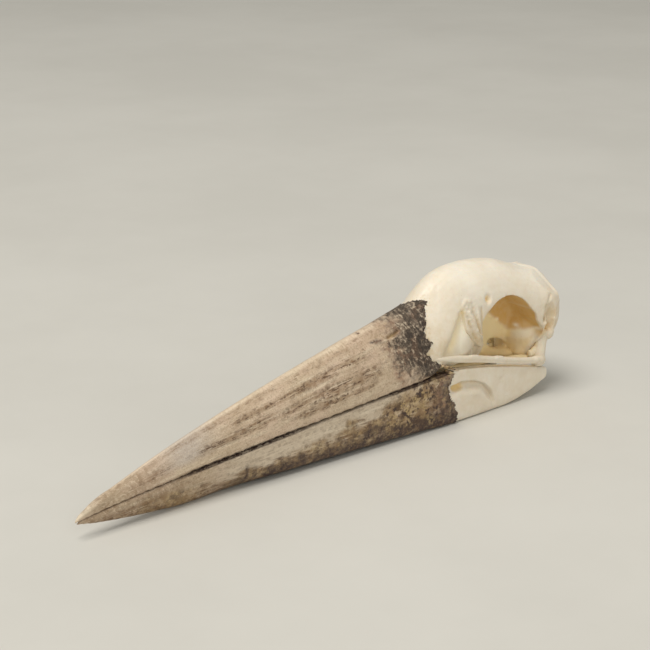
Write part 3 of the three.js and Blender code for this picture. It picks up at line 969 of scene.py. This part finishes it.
# the mouth line gapes wider along parts of the bill: stations, and the share of the full gape there
mouthGape = {
    "stations": [30, 75, 95, 165, 190, 245, 262, 300],
    "shares": [0, 0.3, 1, 1, 0.25, 0.3, 0.9, 1],
    "depth": 1.3,
    "rounds": 11,
    "inside": (1.5, 4),
    "lips": {"reach": (0.4, 2.8), "sideways": (0.1, 0.45), "facing": (-0.15, 0.35)},
    "closed": {"stations": (70, 95), "facing": (0.6, 0.9), "rise": 0.6},
    "within": (0.6, 0.95),
}


# rounds off the edges along the mouth; facing is -1 for the upper half and 1 for the lower one
def openMouth(piece, mm, facing, mouth):
    fromMouth = np.abs(mm[:, 2] - mouth)
    inside = fadeOut(fromMouth, *mouthGape["inside"])
    soften(piece, inside, mouthGape["rounds"])
    normals = surfaceOf(piece)[1]
    towards = normals[:, 2] * facing
    edge, shut = mouthGape["lips"], mouthGape["closed"]
    gape = np.interp(mm[:, 0], mouthGape["stations"], mouthGape["shares"])
    near = fadeOut(fromMouth, *edge["reach"]) * smoothStep(np.abs(normals[:, 1]), *edge["sideways"])
    lips = gape * near * smoothStep(towards, *edge["facing"])
    # near the tip the halves touch inside
    closed = fadeOut(mm[:, 0], *shut["stations"]) * smoothStep(towards, *shut["facing"])
    sculpt(piece, shut["rise"] * closed - mouthGape["depth"] * lips)
    # the mask it gives back is painted shade: in the grooves along the lips and on the facing sides within
    # the gap
    within = inside * smoothStep(towards, *mouthGape["within"])
    return np.maximum(0.85 * lips, within * (0.4 + 0.6 * gape))


nostril = {  # places along the line, width
    "slit": ([(261.5, -12.3, 78), (266.5, -12.3, 79), (271, -12.1, 80.3)], 1.5),
    "ridge": ([(252, -11.9, 76.4), (259, -12.6, 76.3), (267, -13, 77.4)], 1.0),
    "brow": ([(271, -12.3, 80.6), (276, -13.1, 80.8), (281, -13.9, 80.4)], 1.0),
    "smudge": ([(246, -10.3, 77.3), (254, -11.6, 77.1)], 1.7),
}
nostrilRelief = {"slit": 2.2, "ridge": 0.7, "browShare": 0.7}
culmenNick = {"spot": (242, -1, 83), "radii": (1.1, 1.1, 1.1), "depth": 0.9}
cracks = {
    "width": 0.8,
    "depth": 0.8,
    "lines": [
        [(262, -22, 66), (268, -23, 58), (273, -24, 49)],
        [(276, -21, 68), (282, -23, 60)],
        [(270, -20, 72), (277, -22, 66), (280, -23, 58)],
    ],
}
streakRows = [  # share of the height above the mouth line, width, first and last station
    (0.72, 0.085, 125, 235),
    (0.48, 0.12, 95, 155),
    (0.44, 0.14, 165, 245),
    (0.28, 0.09, 175, 238),
    (0.45, 0.16, 48, 66),
]
# reaches ahead of the torn edge, stations, and shares of the height above the mouth line
upperPaint = {
    "burntReach": (6, 58),
    "aboveLip": (0.03, 0.10),
    "edgeReach": (0.5, 3.5),
    "culmenRim": (0.95, 0.985),
    "tipRim": {"stations": (4, 22), "shares": (0.35, 0.8)},
    "allRows": {"stations": (60, 110), "shares": (0.9, 0.97), "strength": 0.22},
    "rowStart": (-18, 8),
    "rowEnd": (-10, 16),
    "underEdge": (0.01, 0.07),
    # painted shade below the culmen: overEdge and topBand
    "overEdge": {"from": (0.8, 0.9), "to": (0.95, 0.99)},
    "tipStainAndShade": {"stations": (45, 80), "shares": (0.85, 0.97)},
    "topBand": {"from": (0.78, 0.92), "to": (0.97, 0.995)},
    "behindTip": (6, 20),
    "ashy": {"station": 86, "reach": 20, "shares": (0.2, 0.5)},
    "stainReach": (10, 60),
}


# rows of brown stripes, and thin ones along the edges; the one below the culmen is painted shade
def streaksAndShade(station, rise):
    rows, over = upperPaint["allRows"], upperPaint["overEdge"]
    streakyAndShaded = rows["strength"] * smoothStep(station, *rows["stations"]) * fadeOut(rise, *rows["shares"])
    for share, width, first, last in streakRows:
        start = [first + step for step in upperPaint["rowStart"]]
        end = [last + step for step in upperPaint["rowEnd"]]
        row = smoothStep(station, *start) * fadeOut(station, *end) * bell(rise, share, width)
        streakyAndShaded = np.maximum(streakyAndShaded, row)
    alongEdges = 0.5 * fadeOut(rise, *upperPaint["underEdge"])
    alongEdges += 0.4 * smoothStep(rise, *over["from"]) * fadeOut(rise, *over["to"])
    return np.maximum(streakyAndShaded, alongEdges)


def makeUpperHorn():
    piece, mm, aheadOfEdge = layHorn("upperHorn", upperHorn, "upper_sheath", "upper_jaw", "cranium")
    left = bothSides(mm)
    slit, ridge, brow, smudge = [softLine(left, *line) for line in nostril.values()]
    ridge = np.maximum(ridge, nostrilRelief["browShare"] * brow)
    nick = blob(left, culmenNick["spot"], culmenNick["radii"])
    cracked = sum(softLine(left, points, cracks["width"]) for points in cracks["lines"])
    cuts = nostrilRelief["slit"] * slit + culmenNick["depth"] * nick + cracks["depth"] * cracked
    sculpt(piece, nostrilRelief["ridge"] * ridge - cuts)
    station = mm[:, 0]
    culmen, mouth = billHeights(station)
    lips = openMouth(piece, mm, -1, mouth)
    rise = np.clip((mm[:, 2] - mouth) / (culmen - mouth), 0, 1)
    hookTip(piece, mm, tipHook["upperStep"])
    bulge = tipHook["bulge"]
    domed = bell(station, bulge["station"], bulge["reach"]) * smoothStep(rise, *bulge["shares"])
    sculpt(piece, bulge["rise"] * domed)
    bluntTip(piece, mm)
    paintGrain(piece, mm, rise * grain["upward"])
    spread = fadeOut(aheadOfEdge, *upperPaint["burntReach"]) * (1 - 0.6 * ridge) * (1 - 0.6 * slit)
    scorched = spread * (0.35 + 0.65 * smoothStep(rise, *upperPaint["aboveLip"]))
    paintMix(piece, "burnt", (1, scorched), (0.55, smudge), (0.8, nick), (1, cracked))
    edge = fadeOut(aheadOfEdge, *upperPaint["edgeReach"])
    # dark on the torn edge, the nick, the nostril and the cracks, and painted shade in the mouth gap
    paintMix(piece, "rimDark", (0.5, edge), (0.6, nick), (0.2, slit), (1, lips), (0.8, cracked))
    # cream: a painted highlight along the culmen, with the pale top of the tip and the nostril ridge
    tip = upperPaint["tipRim"]
    culmenRim = smoothStep(rise, *upperPaint["culmenRim"]) * (1 - spread)
    tipRim = fadeOut(station, *tip["stations"]) * smoothStep(rise, *tip["shares"])
    paintMix(piece, "rim", (0.15, culmenRim), (0.9, tipRim), (0.8, ridge))
    paintMix(piece, "streakyAndShaded", (1, streaksAndShade(station, rise)), (1, slit))
    # brown near the tip, and painted shade as a brown band below the culmen
    stain, band = upperPaint["tipStainAndShade"], upperPaint["topBand"]
    tipStainAndShade = fadeOut(station, *stain["stations"]) * fadeOut(rise, *stain["shares"])
    topBand = 0.4 * smoothStep(rise, *band["from"]) * fadeOut(rise, *band["to"])
    paint(piece, "tipStainAndShade", np.maximum(tipStainAndShade, topBand) * smoothStep(station, *upperPaint["behindTip"]))
    pale = upperPaint["ashy"]
    ashy = bell(station, pale["station"], pale["reach"]) * smoothStep(rise, *pale["shares"])
    paint(piece, "ashy", 0.75 * ashy)
    paintMix(piece, "stainedAndShaded", (0.2, fadeOut(aheadOfEdge, *upperPaint["stainReach"])), (0.8, slit))
    tearHorn(piece, upperHorn, aheadOfEdge)
    finishPiece(piece, "horn", hornLook, "upper_sheath")


# short dark cuts across the lower half
scars = {
    "width": 1.5,
    "lines": [
        [(130.5, -12, 17), (131.3, -9.6, 8)],
        [(215, -18.8, 12.5), (216.5, -18.2, 7)],
    ],
}
# reaches ahead of the torn edge, stations, and shares of the way down from the mouth line
lowerPaint = {
    "stainLine": {"stations": [100, 165, 200, 235, 320], "drops": [0.62, 0.56, 0.42, 0.35, 0.3]},
    "stainWaves": {"height": 0.22, "size": 13, "octaves": 3, "stretch": (1.6, 1, 1), "seed": 11},
    "stainBorder": (-0.12, 0.12),
    "base": (25, 75),
    "midway": (95, 140),
    "burntReach": (2, 20),
    "keelWaves": {"height": 0.25, "size": 9, "octaves": 3, "seed": 13},
    # painted shade along the bottom of the lower half
    "keel": (0.52, 0.84),
    "edgeWaves": {"height": 5, "size": 6, "octaves": 3, "seed": 15},
    "edgeReach": (1, 9),
    "topBand": (90, 140),
    "front": {"stations": (60, 90), "drops": (0.2, 0.5)},
    # brown near the tip, and painted shade along the bottom edge
    "tipStainAndShade": {"stations": (60, 120), "drops": (0.6, 0.95)},
    "rusted": {"station": 72, "reach": 20, "drops": (0.15, 0.45)},
}


def makeLowerHorn():
    bones = ["jaw_ramus_left", "jaw_ramus_right"]
    piece, mm, aheadOfEdge = layHorn("lowerHorn", lowerHorn, "lower_sheath", *bones)
    station = mm[:, 0]
    mouth = billHeights(station)[1]
    lips = openMouth(piece, mm, 1, mouth)
    hookTip(piece, mm, tipHook["lowerStep"])
    bluntTip(piece, mm)
    drop = np.clip((mouth - mm[:, 2]) / np.maximum(mouth, 1), 0, 1)
    paintGrain(piece, mm, drop * grain["downward"])
    line = lowerPaint["stainLine"]
    wavy = drop + rough(mm, **lowerPaint["stainWaves"])
    belowLine = wavy - np.interp(station, line["stations"], line["drops"])
    lowSide = smoothStep(belowLine, *lowerPaint["stainBorder"])
    base = fadeOut(aheadOfEdge, *lowerPaint["base"])
    midway = smoothStep(station, *lowerPaint["midway"])
    paintMix(piece, "burnt", (0.5, fadeOut(aheadOfEdge, *lowerPaint["burntReach"])))
    # painted shade: dark along the keel of the lower half
    keel = smoothStep(drop + rough(mm, **lowerPaint["keelWaves"]), *lowerPaint["keel"]) * midway
    ragged = fadeOut(aheadOfEdge + rough(mm, **lowerPaint["edgeWaves"]), *lowerPaint["edgeReach"])
    scarred = sum(softLine(bothSides(mm), points, scars["width"]) for points in scars["lines"])
    # dark on the ragged torn edge and the cuts, and painted shade in the mouth gap and along the keel
    paintMix(piece, "rimDark", (0.95, ragged), (1, lips), (1, keel), (0.8, scarred))
    topBand = (1 - lowSide) * smoothStep(station, *lowerPaint["topBand"]) * (1 - base)
    paint(piece, "rim", 0.55 * topBand)
    paint(piece, "ashy", 0.45 * topBand)
    ahead, tip, rust = lowerPaint["front"], lowerPaint["tipStainAndShade"], lowerPaint["rusted"]
    front = fadeOut(station, *ahead["stations"]) * smoothStep(wavy, *ahead["drops"])
    # the lower side darker: stains, and painted shade midway along the bill
    paintMix(piece, "streakyAndShaded", (0.3, 1), (0.6, lowSide), (0.4, lowSide * midway), (0.6, front))
    nearTip = fadeOut(station, *tip["stations"])
    # brown near the tip, and painted shade along the bottom edge
    paintMix(piece, "tipStainAndShade", (1, nearTip), (0.9, smoothStep(drop, *tip["drops"])))
    rusted = bell(station, rust["station"], rust["reach"]) * smoothStep(wavy, *rust["drops"])
    # base stains and rust, and painted shade midway along the lower side
    paintMix(piece, "stainedAndShaded", (0.6, lowSide * midway), (0.95, base), (0.55, rusted))
    tearHorn(piece, lowerHorn, aheadOfEdge)
    finishPiece(piece, "horn", hornLook, "lower_sheath")


# torn strands of dried skin between the corners of the mouth
gapeFibres = {
    "strands": [  # the two ends of each strand and the radius at its root
        ((302, -25.3, 50), (316, -26, 45), 0.9),
        ((305, -25.3, 48), (320, -26, 42.2), 0.8),
        ((307, -25.2, 45), (318, -25.8, 39.5), 0.9),
        ((309, -25, 43), (320, -25.6, 38), 0.7),
    ],
    "taper": 0.2,  # radius at the end, as a share of the root's
    "facets": 10,
    "levels": 2,
    "texture": {"height": 0.25, "size": 1.5},
}


def makeGapeFibres():
    strands = []
    for side in (1, -1):
        for start, end, radius in gapeFibres["strands"]:
            root = place(start[0], start[1] * side, start[2])
            run = place(end[0], end[1] * side, end[2]) - root
            bpy.ops.mesh.primitive_cone_add(
                vertices=gapeFibres["facets"],
                radius1=radius / 1000,
                radius2=radius * gapeFibres["taper"] / 1000,
                depth=run.length,
                location=root + run / 2,
                rotation=run.to_track_quat("Z", "Y").to_euler(),
            )
            bpy.ops.object.transform_apply(location=True, rotation=True, scale=True)
            strands.append(bpy.context.object)
    piece = joined(strands)
    piece.name = "gapeFibres"
    applied(piece, "SUBSURF", levels=gapeFibres["levels"], subdivision_type="SIMPLE")
    mm = surfaceOf(piece)[0]
    sculpt(piece, rough(mm, **gapeFibres["texture"]))
    paint(piece, "stainedAndShaded", np.ones(len(mm)))
    finishPiece(piece, "horn", hornLook)


# bone of the lower jaw behind the horn, one ramus for each side
ramus = {
    "voxel": 0.85,
    "smoothing": 4,
    "frontCut": 292,
    "plug": {"depth": 2.6, "reach": (2, 7)},
    "textures": [{"height": 0.1, "size": 8}, {"height": 0.05, "size": 2.5}],
    "rearEnd": {"stations": (400, 410), "rounds": 40},
    "outerSide": (20, 23),
    "arch": {"stations": [311, 324, 337, 348, 355, 358, 361], "heights": [31, 32, 29.5, 24.5, 18, 12, 4]},
    "pocket": {"depth": 3.6, "front": (308, 314), "rear": (355, 361), "rim": (-0.4, 0.5), "fade": (2, 11)},
    "shade": (1, 3.5),
    "spots": [  # place, radii, rise
        ((343, -26, 20.5), (9, 7, 4), 1.3),
        ((366, -26, 24), (1.6, 3, 1.3), -0.9),
        ((394, -27, 22), (6, 6, 4), -1.1),
    ],
    "hollow": {"spot": (322, -25, 27.3), "radii": (6, 8, 2.8), "border": (0.25, 0.65), "depth": 3.4},
}


def makeRamus(side, name, nodeName):
    piece = copyNodes(name, nodeName, "lower_sheath")
    remeshed(piece, ramus["voxel"], ramus["smoothing"])
    cutAcross(piece, ramus["frontCut"], True)
    deleteWhere(piece, surfaceOf(piece)[0][:, 1] * side < 0)
    rear = ramus["rearEnd"]
    soften(piece, smoothStep(surfaceOf(piece)[0][:, 0], *rear["stations"]), rear["rounds"])
    mm = surfaceOf(piece)[0]
    left = bothSides(mm)
    station = mm[:, 0]
    arch, pocket, hollow, plug = ramus["arch"], ramus["pocket"], ramus["hollow"], ramus["plug"]
    outer = smoothStep(np.abs(mm[:, 1]), *ramus["outerSide"])
    below = np.interp(station, arch["stations"], arch["heights"]) - mm[:, 2]
    sunk = smoothStep(station, *pocket["front"]) * fadeOut(station, *pocket["rear"])
    sunk *= outer * smoothStep(below, *pocket["rim"]) * fadeOut(below, *pocket["fade"])
    hole = smoothStep(outer * blob(left, hollow["spot"], hollow["radii"]), *hollow["border"])
    rise = -plug["depth"] * smoothStep(tornStation(lowerHorn, mm) - station, *plug["reach"])
    rise += outer * spotRelief(left, ramus["spots"])
    rise -= pocket["depth"] * sunk + hollow["depth"] * hole
    rise += sum(rough(mm, **texture) for texture in ramus["textures"])
    sculpt(piece, rise)
    # painted shade: tan and amber in the hole, and warm in the pocket under the arch; a light warm tint all
    # over
    paint(piece, "tan", hole)
    paintMix(piece, "warm", (0.18, 1), (0.5, sunk * fadeOut(below, *ramus["shade"])))
    paint(piece, "amber", 0.4 * hole)
    finishPiece(piece, "bone", boneLook, nodeName)


# slender bones: a finer remesh of each solid, with ridges and grooves along a few lines
slender = {
    "cheek_bar": {
        "voxel": 0.55,
        "smoothing": 3,
        "warm": 0.22,
        "lines": [  # places along the line, width, rise
            ([(302, -27, 54), (343, -28, 44.4), (386, -29.5, 32.8), (403, -30.5, 28.8)], 0.8, -0.9),
            ([(361, -27, 43), (366, -27, 42)], 1.6, 0.9),
            ([(334, -26, 50), (340, -26, 48.5)], 1.6, 0.6),
            ([(404, -29.5, 31), (409, -29.5, 29.5)], 3.4, 1.5),
            ([(404.5, -31.5, 30.5), (406, -31.5, 29.5)], 1.5, -1.8),
        ],
        "root": {"stations": (299, 324), "start": 302, "height": 54.3, "slope": -0.235},
        "rootSteps": {"forward": 4.5, "squeeze": 0.5, "lift": 1.0},
    },
    "quadrate": {
        "voxel": 0.6,
        "smoothing": 5,
        "warm": 0.3,
        "lines": [([(405, -23, 34), (407, -21, 33)], 4, 1.5)],
        "prongCut": 402.8,
        "prong": {"stations": (405, 409), "heights": (38, 42), "drop": 2.2},
        "crown": {"heights": (38, 43), "lift": 2.2},
    },
    "palatine": {"voxel": 0.6, "smoothing": 4, "warm": 0.5, "lines": []},
    "pterygoid": {
        "voxel": 0.55,
        "smoothing": 4,
        "warm": 0.5,
        "lines": [([(396, -17, 33), (408, -22, 32)], 6, 2.4)],
    },
}
slenderSkin = {"swell": 0.1, "rise": 0.08, "texture": {"height": 0.1, "size": 4}, "innerSide": (20, 25)}


# the front of a cheek bar thins out and runs on into the face
def runIntoFace(mm, root, steps):
    share = fadeOut(mm[:, 0], *root["stations"])
    middle = root["height"] + root["slope"] * (mm[:, 0] - root["start"])
    upward = share * (steps["squeeze"] * (middle - mm[:, 2]) + steps["lift"])
    return np.stack([-steps["forward"] * share, 0 * share, upward], 1)


# a quadrate's crown is lifted to the skull, and its inner prong lowered to the cheek bar
def closeJoint(mm, crown, prong):
    lift = crown["lift"] * smoothStep(mm[:, 2], *crown["heights"])
    lift -= prong["drop"] * fadeOut(mm[:, 0], *prong["stations"]) * fadeOut(mm[:, 2], *prong["heights"])
    return lift[:, None] * np.array([0, 0, 1])


def makeSlenderBone(kind, sideName):
    settings = slender[kind]
    nodeName = kind + "_" + sideName
    piece = copyNodes(kind.replace("_", "") + sideName.title(), nodeName)
    remeshed(piece, settings["voxel"], settings["smoothing"], slenderSkin["swell"])
    if kind == "quadrate":
        cutAcross(piece, settings["prongCut"], True)
    mm = surfaceOf(piece)[0]
    left = bothSides(mm)
    texture = rough(mm, **slenderSkin["texture"])
    sculpt(piece, slenderSkin["rise"] + texture + lineRelief(left, settings["lines"]))
    if kind == "cheek_bar":
        shift(piece, runIntoFace(mm, settings["root"], settings["rootSteps"]))
    if kind == "quadrate":
        shift(piece, closeJoint(mm, settings["crown"], settings["prong"]))
    grooves = np.zeros(len(mm))
    for points, width, rise in settings["lines"]:
        if rise < 0:
            grooves += softLine(left, points, width)
    # a warm tint all over, and painted shade in the grooves
    paintMix(piece, "warm", (settings["warm"], 1), (0.5, grooves))
    paint(piece, "tan", 0.7 * fadeOut(np.abs(mm[:, 1]), *slenderSkin["innerSide"]))
    paint(piece, "amber", np.zeros(len(mm)))
    finishPiece(piece, "bone", boneLook, nodeName)


makeHead()
makeUpperHorn()
makeLowerHorn()
makeGapeFibres()
makeRamus(-1, "ramusLeft", "jaw_ramus_left")
makeRamus(1, "ramusRight", "jaw_ramus_right")
for kind in slender:
    for sideName in ("left", "right"):
        makeSlenderBone(kind, sideName)

# floor, lights and camera
studio = {
    "floorSize": 14,
    "floorColours": {"grey": (0.60, 0.59, 0.55), "pale": (0.64, 0.63, 0.59)},
    "floorCloud": {"scale": 3.0, "low": 0.3, "high": 0.7},
    "floorRoughness": 0.7,
    "aim": (0.05, 0, 0.05),
    "lights": {  # place, size, power, tint
        "keyLight": ((-1.45, -0.2, 4.0), 2.2, 128, (1.0, 0.965, 0.91)),
        "fillLight": ((-1.2, -3.0, 1.8), 2.4, 24, (1.0, 0.965, 0.92)),
    },
    "air": {"Color": (0.55, 0.54, 0.5, 1), "Strength": 0.66},
}
camera = {
    "azimuth": -42.0,
    "elevation": 19.2,
    "lens": 94.15,
    "sensor": 36,
    "clipEnd": 50,
    "place": (-531.57, -825.50, 482.56),
}


def makeFloor():
    deselectAll()
    bpy.ops.mesh.primitive_plane_add(size=studio["floorSize"], location=(0, 0, 0))
    floor = bpy.context.object
    floor.name = "floor"
    box = Paintbox("paleFloor", studio["floorColours"])
    cloudy = box.patches(box.coords, **studio["floorCloud"])
    box.link(box.over("grey", "pale", cloudy), box.shader.inputs["Base Color"])
    box.shader.inputs["Roughness"].default_value = studio["floorRoughness"]
    floor.data.materials.append(box.look)


def addCamera():
    bpy.ops.object.camera_add()
    eye = bpy.context.object
    azimuth = math.radians(camera["azimuth"])
    elevation = math.radians(camera["elevation"])
    eye.rotation_euler = (math.pi / 2 - elevation, 0, azimuth)
    eye.location = place(*camera["place"])
    eye.data.lens = camera["lens"]
    eye.data.sensor_width = camera["sensor"]
    eye.data.clip_end = camera["clipEnd"]
    bpy.context.scene.camera = eye


def addLight(name, spot, size, power, tint):
    bpy.ops.object.light_add(type="AREA", location=spot)
    lamp = bpy.context.object
    lamp.name = name
    lamp.rotation_euler = (Vector(studio["aim"]) - Vector(spot)).to_track_quat("-Z", "Y").to_euler()
    lamp.data.size = size
    lamp.data.energy = power
    lamp.data.color = tint


def lightAir():
    world = bpy.context.scene.world or bpy.data.worlds.new("studio")
    bpy.context.scene.world = world
    world.use_nodes = True
    for label, value in studio["air"].items():
        world.node_tree.nodes["Background"].inputs[label].default_value = value


makeFloor()
addCamera()
for name, settings in studio["lights"].items():
    addLight(name, *settings)
lightAir()
bpy.context.scene.view_settings.view_transform = "Standard"
print("floor, lights and camera placed")
